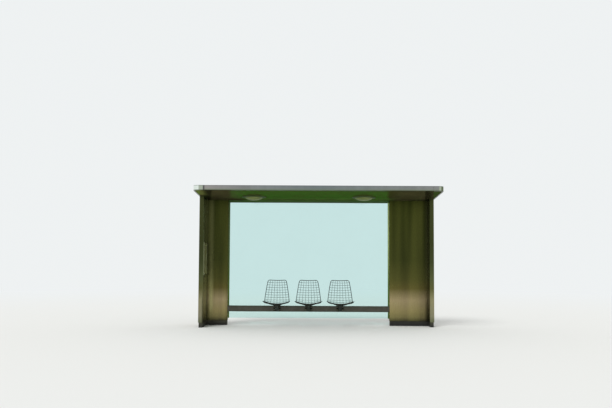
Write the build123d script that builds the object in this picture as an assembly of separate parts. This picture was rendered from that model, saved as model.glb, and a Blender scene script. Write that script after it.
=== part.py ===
from build123d import *
import math
import os

# Bus shelter of folded stainless sheet: two L-shaped end columns, a tapered
# cantilever roof, a glass back wall and three wire seats on a bench beam.
# Millimetres. X runs to the right, Y to the back, Z up. The origin is on the
# ground under the middle of the roof.

# Roof
side_overhang = 20
rear_overhang = 40
front_overhang = 820
roof_corner_r = 120
fascia_front_height = 90
fascia_front_bottom = 2543
soffit_fall_deg = 2.88
deck_fall_deg = 1.0
fascia_sheet = 3
fascia_flange = 25
corner_arm = 195
fascia_seam = 3
deck_drop = 30
deck_sheet = 2
soffit_sheet = 2

# Roof frame inside the tray
arm_width = 50
frame_wall = 3
purlin_width = 40
arm_end_gap = 60
outlet_r = 25
outlet_wall = 2
outlet_flange_r = 55
outlet_flange = 3
outlet_length = 180
outlet_from_face = 60

# End columns: a wing that stands forward and a rear panel beside the glass
opening_width = 3190
wing_thickness = 85
left_wing_depth = 685
right_wing_depth = 300
panel_depth = 160
left_panel_width = 405
right_panel_width = 755
cladding_sheet = 2
cladding_flange = 14
fold_r = 8
cladding_seam = 2
plinth_height = 95
plinth_inset = 10
plinth_sheet = 3

# Steel posts in the columns
wing_post = 44
inner_post = 90
post_wall = 4
post_margin = 8
foot_plate = 12
foot_plate_rim = 3

# Glazing
glass_thickness = 12
glass_bottom = 140
gasket = 3
channel_sheet = 3
channel_width = 25
head_rail_height = 30

# Bench beam
beam_bottom = 268
beam_height = 115
beam_depth = 60
beam_wall = 4
beam_corner_r = 8
beam_set_back = 4

# Wire seats
seat_pitch = 620
seat_count = 3
seat_front_width = 536
seat_top_width = 366
seat_front_height = 441
seat_reach = 455
pan_slope_deg = 3
pan_run = 300
bend_r = 85
back_recline_deg = 13
back_run = 400
lip_r = 40
lip_deg = 30
side_rise = 48
rim_bar = 12
front_bar = 22
wire_bar = 6
long_wires = 7
cross_wires = 8

# Seat brackets
saddle_width = 140
saddle_sheet = 8
clamp_width = 70
clamp_height = 100
pan_plate_width = 240
pan_plate_depth = 150
pan_plate_sheet = 6
arm_tip_width = 80

# Soffit lamps
lamp_spacing = 2120
lamp_from_front = 1020
lamp_ring_r = 230
lamp_ring_height = 18
lamp_ring_edge = 5
lamp_ring_bore = 172
lamp_ring_slope = 42
dome_r = 170
dome_knee_r = 126
dome_knee_depth = 44
dome_flat_r = 60
dome_depth = 60
dome_wall = 3

# Timetable case on the left wing
case_width = 460
case_height = 634
case_depth = 14
case_border = 20
case_from_front = 20
case_bottom = 985
case_glass = 3
case_back_sheet = 2
case_cover_lip = 6

columns_width = opening_width + left_panel_width + right_panel_width + 2 * wing_thickness
roof_length = columns_width + 2 * side_overhang
roof_depth = front_overhang + left_wing_depth + panel_depth + rear_overhang
roof_front_y = -roof_depth / 2
roof_back_y = roof_depth / 2
panel_face_y = roof_front_y + front_overhang + left_wing_depth
panel_back_y = panel_face_y + panel_depth
wing_outer_x = columns_width / 2
wing_inner_x = wing_outer_x - wing_thickness
opening_left_x = -wing_inner_x + left_panel_width
opening_right_x = wing_inner_x - right_panel_width
opening_mid_x = (opening_left_x + opening_right_x) / 2
glass_y = panel_face_y + panel_depth / 2


def wing_front_y(side):
    """Front of a wing; the right one is shallower than the left one."""
    return panel_face_y - (left_wing_depth if side < 0 else right_wing_depth)


def soffit_z(y):
    """Height of the underside of the roof at depth y."""
    return fascia_front_bottom - (y - roof_front_y) * math.tan(math.radians(soffit_fall_deg))


def roof_top_z(y):
    """Height of the upper edge of the fascia at depth y."""
    top = fascia_front_bottom + fascia_front_height
    return top - (y - roof_front_y) * math.tan(math.radians(deck_fall_deg))


def box_between(low, high):
    """A box from its lowest corner to its highest corner."""
    size = [b - a for a, b in zip(low, high)]
    middle = [(a + b) / 2 for a, b in zip(low, high)]
    return Pos(*middle) * Box(*size)


def side_prism(points, x_low, x_high):
    """A prism along X from a polygon of (y, z) points."""
    face = Plane.YZ * make_face(Polyline(*points, close=True))
    return Pos(x_low, 0, 0) * extrude(face, x_high - x_low)


def roof_wedge(above_soffit, below_top, x_low, x_high):
    """The tapered space of the roof between two offset planes."""
    margin = roof_depth
    y0, y1 = roof_front_y - margin, roof_back_y + margin
    points = [
        (y0, soffit_z(y0) + above_soffit),
        (y1, soffit_z(y1) + above_soffit),
        (y1, roof_top_z(y1) - below_top),
        (y0, roof_top_z(y0) - below_top),
    ]
    return side_prism(points, x_low, x_high)


def roof_block(inset, above_soffit, below_top):
    """The roof's rounded plan, inset all round, cut to the tapered section."""
    radius = roof_corner_r - inset
    plan = RectangleRounded(roof_length - 2 * inset, roof_depth - 2 * inset, radius)
    slab = Pos(0, 0, plinth_height) * extrude(plan, 2 * fascia_front_bottom)
    wedge = roof_wedge(above_soffit, below_top, -roof_length, roof_length)
    return slab & wedge


def save(shape, node):
    """Write one named piece."""
    export_step(shape, f"parts/{node}.step")


def fascia_ring():
    """The folded edge of the roof, a C section that follows the rounded plan."""
    open_way = 2 * fascia_front_bottom
    ring = roof_block(0, 0, 0)
    ring -= roof_block(fascia_sheet, fascia_sheet, fascia_sheet)
    ring -= roof_block(fascia_flange, -open_way, -open_way)
    return ring


def outlet_place():
    """Place of the rain outlet on the deck, over the wide rear panel."""
    x = (wing_inner_x + opening_right_x) / 2
    y = panel_face_y + outlet_from_face
    return Pos(x, y, roof_top_z(y) - deck_drop) * Rot(-deck_fall_deg, 0, 0)


def outlet_bore():
    """Hole that the outlet pipe fills in the deck and the soffit."""
    return outlet_place() * Cylinder(outlet_r, 2 * outlet_length)


def rain_outlet():
    """Flanged pipe that takes rain from the deck down into the column."""
    pipe = Pos(0, 0, -outlet_length / 2) * Cylinder(outlet_r, outlet_length)
    pipe += Pos(0, 0, outlet_flange / 2) * Cylinder(outlet_flange_r, outlet_flange)
    pipe -= Cylinder(outlet_r - outlet_wall, 3 * outlet_length)
    return outlet_place() * pipe


def fascia_pieces():
    """The ring cut at its seams into four runs and four corner pieces."""
    ring = fascia_ring()
    corner_x = roof_length / 2 - corner_arm
    corner_y = roof_depth / 2 - corner_arm
    tall = 2 * fascia_front_bottom
    run_x = corner_x - fascia_seam
    run_y = corner_y - fascia_seam
    far = roof_length
    pieces = {
        "front_fascia": ring & box_between((-run_x, -far, 0), (run_x, 0, tall)),
        "rear_fascia": ring & box_between((-run_x, 0, 0), (run_x, far, tall)),
        "left_fascia": ring & box_between((-far, -run_y, 0), (0, run_y, tall)),
        "right_fascia": ring & box_between((0, -run_y, 0), (far, run_y, tall)),
    }
    for side, sx in (("left", -1), ("right", 1)):
        for end, sy in (("front", -1), ("rear", 1)):
            xs = sorted((sx * corner_x, sx * far))
            ys = sorted((sy * corner_y, sy * far))
            cut = box_between((xs[0], ys[0], 0), (xs[1], ys[1], tall))
            pieces[f"{end}_{side}_fascia_corner"] = ring & cut
    return pieces


def column_outline(side, inset):
    """Plan of a column, an L with its folds rounded and its edge inset."""
    panel_width = left_panel_width if side < 0 else right_panel_width
    outer = wing_outer_x - inset
    inner = wing_inner_x + inset
    end = wing_inner_x - panel_width + inset
    front = wing_front_y(side) + inset
    face = panel_face_y + inset
    back = panel_back_y - inset
    corners = [(outer, front), (outer, back), (end, back), (end, face), (inner, face), (inner, front)]
    plan = make_face(Polyline(*[(side * x, y) for x, y in corners], close=True))
    radius = fold_r - inset
    if radius > 0:
        inner_fold = Vector(side * inner, face, 0)
        folds = [v for v in plan.vertices() if (Vector(v) - inner_fold).length > radius]
        plan = fillet(folds, radius)
    return plan


def under_roof(plan, bottom, below_soffit):
    """Raise a plan from a height up to the sloping soffit."""
    body = Pos(0, 0, bottom) * extrude(plan, fascia_front_bottom - bottom)
    y0, y1 = roof_front_y, roof_back_y
    keep = [
        (y0, bottom),
        (y1, bottom),
        (y1, soffit_z(y1) - below_soffit),
        (y0, soffit_z(y0) - below_soffit),
    ]
    return body & side_prism(keep, -roof_length, roof_length)


def column_cladding(side):
    """Folded sheets of a column, with return flanges at top and bottom."""
    skin = under_roof(column_outline(side, 0), plinth_height, 0)
    hollow = under_roof(column_outline(side, cladding_sheet), plinth_height + cladding_sheet, cladding_sheet)
    way = under_roof(column_outline(side, cladding_flange), 0, -cladding_flange)
    shell = skin - hollow - way
    tall = 2 * fascia_front_bottom
    far = roof_length
    wing_xs = sorted((side * wing_inner_x, side * far))
    panel_xs = sorted((side * (wing_inner_x - cladding_seam), -side * far))
    wing = shell & box_between((wing_xs[0], -far, 0), (wing_xs[1], far, tall))
    panel = shell & box_between((panel_xs[0], -far, 0), (panel_xs[1], far, tall))
    return wing, panel


def column_plinth(side):
    """Recessed skirt under the cladding, on which the folded flanges rest."""
    outside = column_outline(side, plinth_inset)
    inside = column_outline(side, plinth_inset + plinth_sheet)
    return extrude(outside - inside, plinth_height)


def post_plan(side):
    """Centre and width of each post of a column."""
    panel_width = left_panel_width if side < 0 else right_panel_width
    wing_mid = (wing_outer_x + wing_inner_x) / 2
    near = cladding_sheet + post_margin
    inner_x = wing_inner_x - panel_width + near + inner_post / 2
    front_y = wing_front_y(side) + plinth_inset + plinth_sheet + post_margin + wing_post / 2
    back_y = panel_face_y + plinth_inset + plinth_sheet + post_margin + inner_post / 2
    return [
        (side * wing_mid, front_y, wing_post),
        (side * wing_mid, back_y, wing_post),
        (side * (inner_x + plinth_inset), back_y, inner_post),
    ]


def posts_block(side, grow):
    """Outside of a column's posts, from the ground to the roof arms."""
    top = -(fascia_sheet + soffit_sheet)
    blocks = []
    for x, y, width in post_plan(side):
        plan = Pos(x, y) * Rectangle(width + 2 * grow, width + 2 * grow)
        blocks.append(under_roof(plan, 0, top))
    return blocks


def column_frame(side):
    """Three hollow posts with foot plates, joined by a sill channel."""
    frame = None
    hollows = posts_block(side, -post_wall)
    for (x, y, width), post, hollow in zip(post_plan(side), posts_block(side, 0), hollows):
        rim = width / 2 + foot_plate_rim
        foot = box_between((x - rim, y - rim, 0), (x + rim, y + rim, foot_plate))
        tube = post - Pos(0, 0, foot_plate) * hollow
        tube = tube + foot
        frame = tube if frame is None else frame + tube
    (x0, y0, w0), (x1, y1, w1), (x2, y2, w2) = post_plan(side)
    wing_sill = box_between((x0 - w0 / 4, y0, 0), (x0 + w0 / 4, y1, foot_plate))
    ends = sorted((x1, x2))
    panel_sill = box_between((ends[0], y1 - w1 / 4, 0), (ends[1], y1 + w1 / 4, foot_plate))
    return frame + wing_sill + panel_sill


def arm_centres():
    """X of the roof arms, over the wings and over the inner posts."""
    return [post_plan(-1)[0][0], post_plan(-1)[2][0], post_plan(1)[2][0], post_plan(1)[0][0]]


def roof_frame():
    """Tapered hollow arms and three purlins between soffit and deck."""
    low = fascia_sheet + soffit_sheet
    high = deck_drop + deck_sheet
    front = roof_front_y + arm_end_gap
    back = roof_back_y - arm_end_gap

    def bar(xs, ys):
        outside = roof_wedge(low, high, xs[0], xs[1])
        outside = outside & box_between((xs[0], ys[0], 0), (xs[1], ys[1], 2 * fascia_front_bottom))
        w = frame_wall
        inside = roof_wedge(low + w, high + w, xs[0] + w, xs[1] - w)
        inside = inside & box_between(
            (xs[0] + w, ys[0] + w, 0), (xs[1] - w, ys[1] - w, 2 * fascia_front_bottom)
        )
        return outside, inside

    arms = [bar((x - arm_width / 2, x + arm_width / 2), (front, back)) for x in arm_centres()]
    half = arm_centres()[-1] + arm_width / 2
    purlin_ys = [front + purlin_width / 2, (front + back) / 2, back - purlin_width / 2]
    purlins = [bar((-half, half), (y - purlin_width / 2, y + purlin_width / 2)) for y in purlin_ys]
    frame = None
    for outside, inside in arms + purlins:
        frame = outside if frame is None else frame + outside
    for outside, inside in arms + purlins:
        frame -= inside
    return frame


def deck_space(drop):
    """Space under the deck, used to cut the tray from the roof block."""
    y0, y1 = roof_front_y - roof_depth, roof_back_y + roof_depth
    low = [(y0, 0), (y1, 0), (y1, roof_top_z(y1) - drop), (y0, roof_top_z(y0) - drop)]
    return side_prism(low, -roof_length, roof_length)


def roof_tray():
    """Tray that falls to the back, with an upstand behind the fascia."""
    skin = roof_block(fascia_sheet, 0, fascia_sheet)
    skin -= deck_space(deck_drop + deck_sheet)
    hollow = roof_block(fascia_sheet + deck_sheet, 0, -roof_depth)
    hollow -= deck_space(deck_drop)
    return skin - hollow - outlet_bore()


def soffit():
    """Lining sheet that rests on the lower fascia flange."""
    sheet = roof_block(fascia_sheet, fascia_sheet, 0)
    sheet &= roof_wedge(fascia_sheet, 0, -roof_length, roof_length)
    above = roof_wedge(fascia_sheet + soffit_sheet, -roof_depth, -roof_length, roof_length)
    sheet -= above
    for side in (-1, 1):
        for post in posts_block(side, 1):
            sheet -= post
    return sheet - outlet_bore()


def glazing():
    """Glass, its rubber gaskets, the side channels and the head rail."""
    rail_bottom = soffit_z(glass_y) - head_rail_height
    edge = channel_sheet + gasket
    slot = glass_thickness + 2 * gasket
    half_depth = slot / 2 + channel_sheet
    x0, x1 = opening_left_x, opening_right_x
    y0, y1 = glass_y - half_depth, glass_y + half_depth
    foot = glass_bottom - channel_sheet
    rail_top = soffit_z(glass_y) + fascia_sheet + half_depth
    glass_top = rail_bottom + channel_width - edge
    pane = box_between(
        (x0 + edge, glass_y - glass_thickness / 2, glass_bottom),
        (x1 - edge, glass_y + glass_thickness / 2, glass_top),
    )
    channels = {}
    for side, wall_x, way in (("left", x0, 1), ("right", x1, -1)):
        xs = sorted((wall_x, wall_x + way * channel_width))
        slots = sorted((wall_x + way * channel_sheet, wall_x + way * 2 * channel_width))
        body = box_between((xs[0], y0, foot), (xs[1], y1, rail_bottom))
        body -= box_between(
            (slots[0], glass_y - slot / 2, glass_bottom), (slots[1], glass_y + slot / 2, 2 * rail_bottom)
        )
        channels[f"{side}_glazing_channel"] = body
    rail = box_between((x0, y0, rail_bottom), (x1, y1, rail_top))
    rail &= side_prism(
        [
            (y0, rail_bottom),
            (y1, rail_bottom),
            (y1, soffit_z(y1) + fascia_sheet),
            (y0, soffit_z(y0) + fascia_sheet),
        ],
        x0,
        x1,
    )
    rail -= box_between(
        (x0 - 1, glass_y - slot / 2, rail_bottom - 1),
        (x1 + 1, glass_y + slot / 2, glass_top + gasket),
    )
    rubber = []
    for wall_x, way in ((x0, 1), (x1, -1)):
        xs = sorted((wall_x + way * channel_sheet, wall_x + way * channel_width))
        rubber.append(
            box_between(
                (xs[0], glass_y - slot / 2, glass_bottom), (xs[1], glass_y + slot / 2, rail_bottom)
            )
            - pane
        )
    rubber.append(
        box_between((x0, glass_y - slot / 2, rail_bottom), (x1, glass_y + slot / 2, glass_top + gasket))
        - pane
    )
    return pane, channels, rail, rubber


def bench_beam():
    """Hollow beam between the two rear panels, in front of the glass."""
    y = panel_face_y + beam_set_back + beam_depth / 2
    z = beam_bottom + beam_height / 2
    outside = RectangleRounded(beam_depth, beam_height, beam_corner_r)
    inside = RectangleRounded(
        beam_depth - 2 * beam_wall, beam_height - 2 * beam_wall, beam_corner_r - beam_wall
    )
    section = Plane.YZ * (outside - inside)
    return Pos(opening_left_x, y, z) * extrude(section, opening_width)


def seat_profile(t):
    """Point and outward normal of the seat's centre line, t from lip to top."""
    pan = math.radians(-pan_slope_deg)
    turn = math.radians(90 - back_recline_deg + pan_slope_deg)
    lip = math.radians(lip_deg)
    lengths = [lip_r * lip, pan_run, bend_r * turn, back_run]
    s = t * sum(lengths) - lengths[0]
    y0 = panel_face_y - seat_reach + lip_r
    if s < 0:
        a = pan - s / lip_r
        centre = (y0, seat_front_height - lip_r)
        return (centre[0] - lip_r * math.sin(a), centre[1] + lip_r * math.cos(a)), a
    if s < pan_run:
        start = (y0 - lip_r * math.sin(pan), seat_front_height - lip_r + lip_r * math.cos(pan))
        return (start[0] + s * math.cos(pan), start[1] + s * math.sin(pan)), pan
    start = (y0 - lip_r * math.sin(pan), seat_front_height - lip_r + lip_r * math.cos(pan))
    end = (start[0] + pan_run * math.cos(pan), start[1] + pan_run * math.sin(pan))
    centre = (end[0] - bend_r * math.sin(pan), end[1] + bend_r * math.cos(pan))
    s -= pan_run
    a = pan + min(s / bend_r, turn)
    point = (centre[0] + bend_r * math.sin(a), centre[1] - bend_r * math.cos(a))
    rest = max(0, s - bend_r * turn)
    return (point[0] + rest * math.cos(a), point[1] + rest * math.sin(a)), a


def seat_point(mid_x, u, t):
    """Point of the seat surface, u across from -1 to 1 and t from lip to top.

    The sides close in with the square of t, so that most of it is up the back.
    """
    (y, z), a = seat_profile(t)
    half = (seat_front_width + (seat_top_width - seat_front_width) * t * t) / 2 - rim_bar / 2
    rise = side_rise * u * u
    return Vector(mid_x + u * half, y - rise * math.sin(a), z + rise * math.cos(a))


def facet_bar(points, width, sides):
    """A bar of few flat sides along straight runs, mitred where they meet."""
    runs = [(b - a).normalized() for a, b in zip(points, points[1:])]
    start = Plane(origin=points[0], z_dir=runs[0])
    turns = [math.radians(360 * (k + 0.5) / sides) for k in range(sides)]
    ring = [start.from_local_coords(Vector(math.cos(a), math.sin(a)) * (width / 2)) for a in turns]
    rings = [ring]
    for i, run in enumerate(runs):
        end = points[i + 1]
        normal = (run + runs[i + 1]).normalized() if i + 1 < len(runs) else run
        ring = [p + run * ((end - p).dot(normal) / run.dot(normal)) for p in ring]
        rings.append(ring)
    faces = [Face(Wire.make_polygon(rings[0])), Face(Wire.make_polygon(rings[-1]))]
    for low, high in zip(rings, rings[1:]):
        for k in range(sides):
            n = (k + 1) % sides
            faces.append(Face(Wire.make_polygon([low[k], low[n], high[n], high[k]])))
    return Solid(Shell(faces))


def pan_plane(mid_x, offset):
    """Plane on the pan at mid depth, moved off along the pan's normal."""
    pan = math.radians(-pan_slope_deg)
    y = panel_face_y - seat_reach + lip_r - lip_r * math.sin(pan) + math.cos(pan) * pan_run / 2
    z = seat_front_height - lip_r + lip_r * math.cos(pan) + math.sin(pan) * pan_run / 2
    normal = Vector(0, -math.sin(pan), math.cos(pan))
    return Plane(origin=Vector(mid_x, y, z) + normal * offset, x_dir=(1, 0, 0), z_dir=normal)


def wire_seat(mid_x):
    """One seat: a rim, a thicker front bar, crossing wires and a pan plate, fused."""
    steps = [0, 0.04, 0.09, 0.25, 0.41, 0.46, 0.51, 0.56, 0.78, 1]
    across = [-1, -0.6, -0.2, 0.2, 0.6, 1]
    wires = []
    for i in range(long_wires):
        u = -1 + 2 * (i + 1) / (long_wires + 1)
        wires.append(facet_bar([seat_point(mid_x, u, t) for t in steps], wire_bar, 4))
    for j in range(cross_wires):
        t = (j + 1) / (cross_wires + 1)
        wires.append(facet_bar([seat_point(mid_x, u, t) for u in across], wire_bar, 4))
    edges = [[seat_point(mid_x, u, t) for t in steps] for u in (-1, 1)]
    edges.append([seat_point(mid_x, u, 1) for u in across])
    rims = [facet_bar(edge, rim_bar, 6) for edge in edges]
    rims.append(facet_bar([seat_point(mid_x, u, 0) for u in across], front_bar, 6))
    plate = pan_plane(mid_x, -pan_plate_sheet / 2) * Box(pan_plate_width, pan_plate_depth, pan_plate_sheet)
    lattice = wires[0].fuse(*wires[1:])
    rim = rims[0].fuse(*rims[1:])
    return rim.fuse(lattice).fuse(plate)


def seat_bracket(mid_x):
    """Saddle over the beam, a plate down its face and a tapered arm to the pan plate."""
    front = panel_face_y + beam_set_back
    back = front + beam_depth
    top = beam_bottom + beam_height
    clamp_y = front - saddle_sheet
    under = pan_plane(0, -pan_plate_sheet)
    reach = under.y_dir * (pan_plate_depth / 2)
    tip_back, tip_front = under.origin + reach, under.origin - reach
    upper = [
        (back, top),
        (back, top + saddle_sheet),
        (tip_back.Y, tip_back.Z),
        (tip_front.Y, tip_front.Z),
        (tip_front.Y, tip_front.Z - saddle_sheet),
        (clamp_y, top - saddle_sheet),
        (clamp_y, top),
    ]
    half = saddle_width / 2
    tip = arm_tip_width / 2
    plan = make_face(
        Polyline((-half, back), (half, back), (half, clamp_y), (tip, tip_front.Y), (-tip, tip_front.Y),
                 (-half, clamp_y), close=True)
    )
    arm = side_prism(upper, -half, half) & extrude(plan, 2 * top)
    web = [
        (front, top),
        (tip_front.Y, tip_front.Z - saddle_sheet),
        (clamp_y - saddle_sheet, top - clamp_height),
        (front, top - clamp_height),
    ]
    arm += side_prism(web, -clamp_width / 2, clamp_width / 2)
    arm += box_between((-half, clamp_y, top - clamp_height), (half, front, top))
    return Pos(mid_x, 0, 0) * arm


def on_soffit(x, y):
    """Place on the soffit's face, with Z along its normal."""
    z = soffit_z(y) + fascia_sheet
    return Pos(x, y, z) * Rot(-soffit_fall_deg, 0, 0)


def turned(profile):
    """A solid turned about Z from (radius, height) points."""
    return revolve(Plane.XZ * make_face(Polyline(*profile, close=True)), Axis.Z)


def lamp_ring():
    """Turned trim ring of a soffit lamp, sloped down from a low outer edge."""
    return turned([
        (lamp_ring_bore, 0),
        (lamp_ring_r, 0),
        (lamp_ring_r, -lamp_ring_edge),
        (lamp_ring_r - lamp_ring_slope, -lamp_ring_height),
        (lamp_ring_bore, -lamp_ring_height),
    ])


def lamp_dome():
    """Opal dish of a soffit lamp, an even shell open to the soffit."""
    outside = [
        (dome_r, 0),
        (dome_r, -lamp_ring_height),
        (dome_knee_r, -dome_knee_depth),
        (dome_flat_r, -dome_depth),
        (0, -dome_depth),
    ]
    inside = [(max(0, r - dome_wall), min(0, z + dome_wall)) for r, z in reversed(outside)]
    inside[0] = (0, dome_wall - dome_depth)
    return turned(outside + inside)


def timetable_case():
    """Snap frame on the wing with its back sheet and clear cover."""
    x = -wing_inner_x
    y = wing_front_y(-1) + case_from_front
    z = case_bottom
    lip = case_cover_lip
    border = case_border

    def slab(inset, x_low, x_high):
        low = (x + x_low, y + inset, z + inset)
        return box_between(low, (x + x_high, y + case_width - inset, z + case_height - inset))

    frame = slab(0, 0, case_depth) - slab(border, -case_depth, 2 * case_depth)
    frame -= slab(border - lip, -case_depth, case_depth - case_glass)
    back = slab(border - lip, 0, case_back_sheet)
    cover = slab(border - lip, case_depth - 2 * case_glass, case_depth - case_glass)
    return frame, back, cover


os.makedirs("parts", exist_ok=True)

for node, piece in fascia_pieces().items():
    save(piece, node)
save(roof_tray(), "roof_deck")
save(soffit(), "soffit")
save(roof_frame(), "roof_frame")
save(rain_outlet(), "rain_outlet")

for name, side in (("left", -1), ("right", 1)):
    wing, panel = column_cladding(side)
    save(wing, f"{name}_wing_cladding")
    save(panel, f"{name}_rear_panel")
    save(column_plinth(side), f"{name}_plinth")
    save(column_frame(side), f"{name}_post_frame")

pane, channels, rail, rubber = glazing()
save(pane, "glass_pane")
save(rail, "glazing_head_rail")
for node, piece in channels.items():
    save(piece, node)
save(Compound(children=rubber), "glazing_gaskets")
save(bench_beam(), "bench_beam")

seat = wire_seat(0)
for i in range(seat_count):
    x = opening_mid_x + (i - (seat_count - 1) / 2) * seat_pitch
    save(Pos(x, 0, 0) * seat, f"wire_seat_{i + 1}")
    save(seat_bracket(x), f"seat_bracket_{i + 1}")

lamp_y = roof_front_y + lamp_from_front
for name, side in (("left", -1), ("right", 1)):
    place = on_soffit(opening_mid_x + side * lamp_spacing / 2, lamp_y)
    save(place * lamp_ring(), f"{name}_lamp_ring")
    save(place * lamp_dome(), f"{name}_lamp_dome")

frame, back, cover = timetable_case()
save(frame, "timetable_frame")
save(back, "timetable_back")
save(cover, "timetable_cover")
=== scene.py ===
import math
import bpy
import numpy as np
from mathutils import Matrix, Vector


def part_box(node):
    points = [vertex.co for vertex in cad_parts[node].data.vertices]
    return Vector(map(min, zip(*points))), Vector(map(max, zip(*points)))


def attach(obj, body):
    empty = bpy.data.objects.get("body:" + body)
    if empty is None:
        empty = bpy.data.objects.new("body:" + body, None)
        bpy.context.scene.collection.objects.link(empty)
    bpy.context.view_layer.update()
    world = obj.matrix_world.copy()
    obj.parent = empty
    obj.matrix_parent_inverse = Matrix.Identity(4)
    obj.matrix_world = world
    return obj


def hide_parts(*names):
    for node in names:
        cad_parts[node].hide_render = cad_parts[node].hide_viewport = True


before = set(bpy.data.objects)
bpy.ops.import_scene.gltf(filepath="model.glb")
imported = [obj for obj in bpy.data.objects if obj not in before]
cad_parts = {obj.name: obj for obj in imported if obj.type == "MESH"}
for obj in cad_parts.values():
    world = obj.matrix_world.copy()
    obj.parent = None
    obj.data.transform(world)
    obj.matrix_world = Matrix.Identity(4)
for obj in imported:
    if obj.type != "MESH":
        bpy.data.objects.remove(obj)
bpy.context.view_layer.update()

# Bus shelter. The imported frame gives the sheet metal, the glass and the bench
# beam; this script dresses them and adds the wire seats, the lamp dishes and
# the small fixings. Metres, X to the right, Y to the back, Z up.

black = (0.0, 0.0, 0.0, 1.0)
white = (1.0, 1.0, 1.0, 1.0)


def tone(red, green, blue):
    # a screen colour of 0 to 255 turned into the linear value that a shader takes
    share = np.array([red, green, blue]) / 255
    linear = np.where(share <= 0.04045, share / 12.92, ((share + 0.055) / 1.055) ** 2.4)
    return (*linear.tolist(), 1.0)


class Value:
    # a shader socket that takes part in Python sums; each sum adds a Math node
    def __init__(self, owner, socket):
        self.owner = owner
        self.socket = socket

    def math(self, operation, *values):
        return self.owner.node("ShaderNodeMath", {"operation": operation}, values)

    def __add__(self, other):
        return self.math("ADD", self, other)

    def __sub__(self, other):
        return self.math("SUBTRACT", self, other)

    def __rsub__(self, other):
        return self.math("SUBTRACT", other, self)

    def __mul__(self, other):
        return self.math("MULTIPLY", self, other)

    def __truediv__(self, other):
        return self.math("DIVIDE", self, other)

    def __pow__(self, other):
        return self.math("POWER", self, other)

    def __abs__(self):
        return self.math("ABSOLUTE", self)

    __radd__ = __add__
    __rmul__ = __mul__

    def clamp(self):
        return self.owner.node("ShaderNodeClamp", {}, [self, 0.0, 1.0])

    def step(self, low, high):
        # 0 below low, 1 above high and a smooth rise between
        return self.owner.node("ShaderNodeMapRange", {"interpolation_type": "SMOOTHSTEP"},
                               [self, low, high, 0.0, 1.0])

    def fall(self, low, high):
        # 1 below low, 0 above high and a smooth fall between
        return 1 - self.step(low, high)


class Shader:
    # the nodes of one material or world
    def __init__(self, holder):
        holder.use_nodes = True
        self.tree = holder.node_tree
        self.tree.nodes.clear()

    def node(self, kind, settings, values, out=0):
        # adds a node: its settings first, then its inputs as numbers or links
        made = self.tree.nodes.new(kind)
        for name, value in settings.items():
            if name == "stops":
                ramp = made.color_ramp
                while len(ramp.elements) < len(value):
                    ramp.elements.new(0.5)
                for element, (at, colour) in zip(ramp.elements, value):
                    element.position = at
                    element.color = colour
            else:
                setattr(made, name, value)
        pairs = values.items() if isinstance(values, dict) else enumerate(values)
        for key, value in pairs:
            self.plug(made.inputs[key], value)
        return Value(self, made.outputs[out])

    def plug(self, socket, value):
        if isinstance(value, Value):
            self.tree.links.new(value.socket, socket)
        else:
            socket.default_value = value


class Finish(Shader):
    # one procedural material; place is the point in metres, x, y and z its parts
    def __init__(self, name, metallic=0.0, roughness=0.5, **constants):
        self.material = bpy.data.materials.new(name)
        super().__init__(self.material)
        self.output = self.tree.nodes.new("ShaderNodeOutputMaterial")
        self.shader = self.tree.nodes.new("ShaderNodeBsdfPrincipled")
        self.main = Value(self, self.shader.outputs[0])
        self.plug(self.output.inputs["Surface"], self.main)
        self.set("Metallic", metallic)
        self.set("Roughness", roughness)
        for socket, value in constants.items():
            self.set(socket.replace("_", " "), value)
        self.place = self.node("ShaderNodeTexCoord", {}, [], "Object")
        parts = self.node("ShaderNodeSeparateXYZ", {}, [self.place]).socket.node.outputs
        self.x, self.y, self.z = [Value(self, part) for part in parts]

    def set(self, name, value):
        self.plug(self.shader.inputs[name], value)

    def mix(self, share, first, second):
        return self.node("ShaderNodeMix", {"data_type": "RGBA"}, {0: share, 6: first, 7: second}, 2)

    def noise(self, scale, detail=2.0, stretch=(1, 1, 1), roughness=0.5):
        # cloudy value of 0 to 1 with features about 1 / scale metres wide
        where = self.node("ShaderNodeMapping", {}, {"Vector": self.place, "Scale": stretch})
        return self.node("ShaderNodeTexNoise", {}, {
            "Vector": where, "Scale": scale, "Detail": detail, "Roughness": roughness})

    def ramp(self, factor, stops):
        return self.node("ShaderNodeValToRGB", {"stops": stops}, [factor])

    def onRight(self):
        # 0 on the shelter's left half and 1 on its right half
        return self.x.step(-0.1, 0.1)

    def rough(self, level, *swings):
        # a roughness level that each cloudy value moves up and down by its swing
        for cloud, swing in swings:
            level = level + (cloud - 0.5) * swing
        self.set("Roughness", level)

    def bump(self, height, strength, distance):
        self.set("Normal", self.node("ShaderNodeBump", {}, {
            "Height": height, "Strength": strength, "Distance": distance}))

    def cover(self, share, other):
        # a share of another shader over the main one
        both = self.node("ShaderNodeMixShader", {}, [share, self.main, other])
        self.plug(self.output.inputs["Surface"], both)


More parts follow.
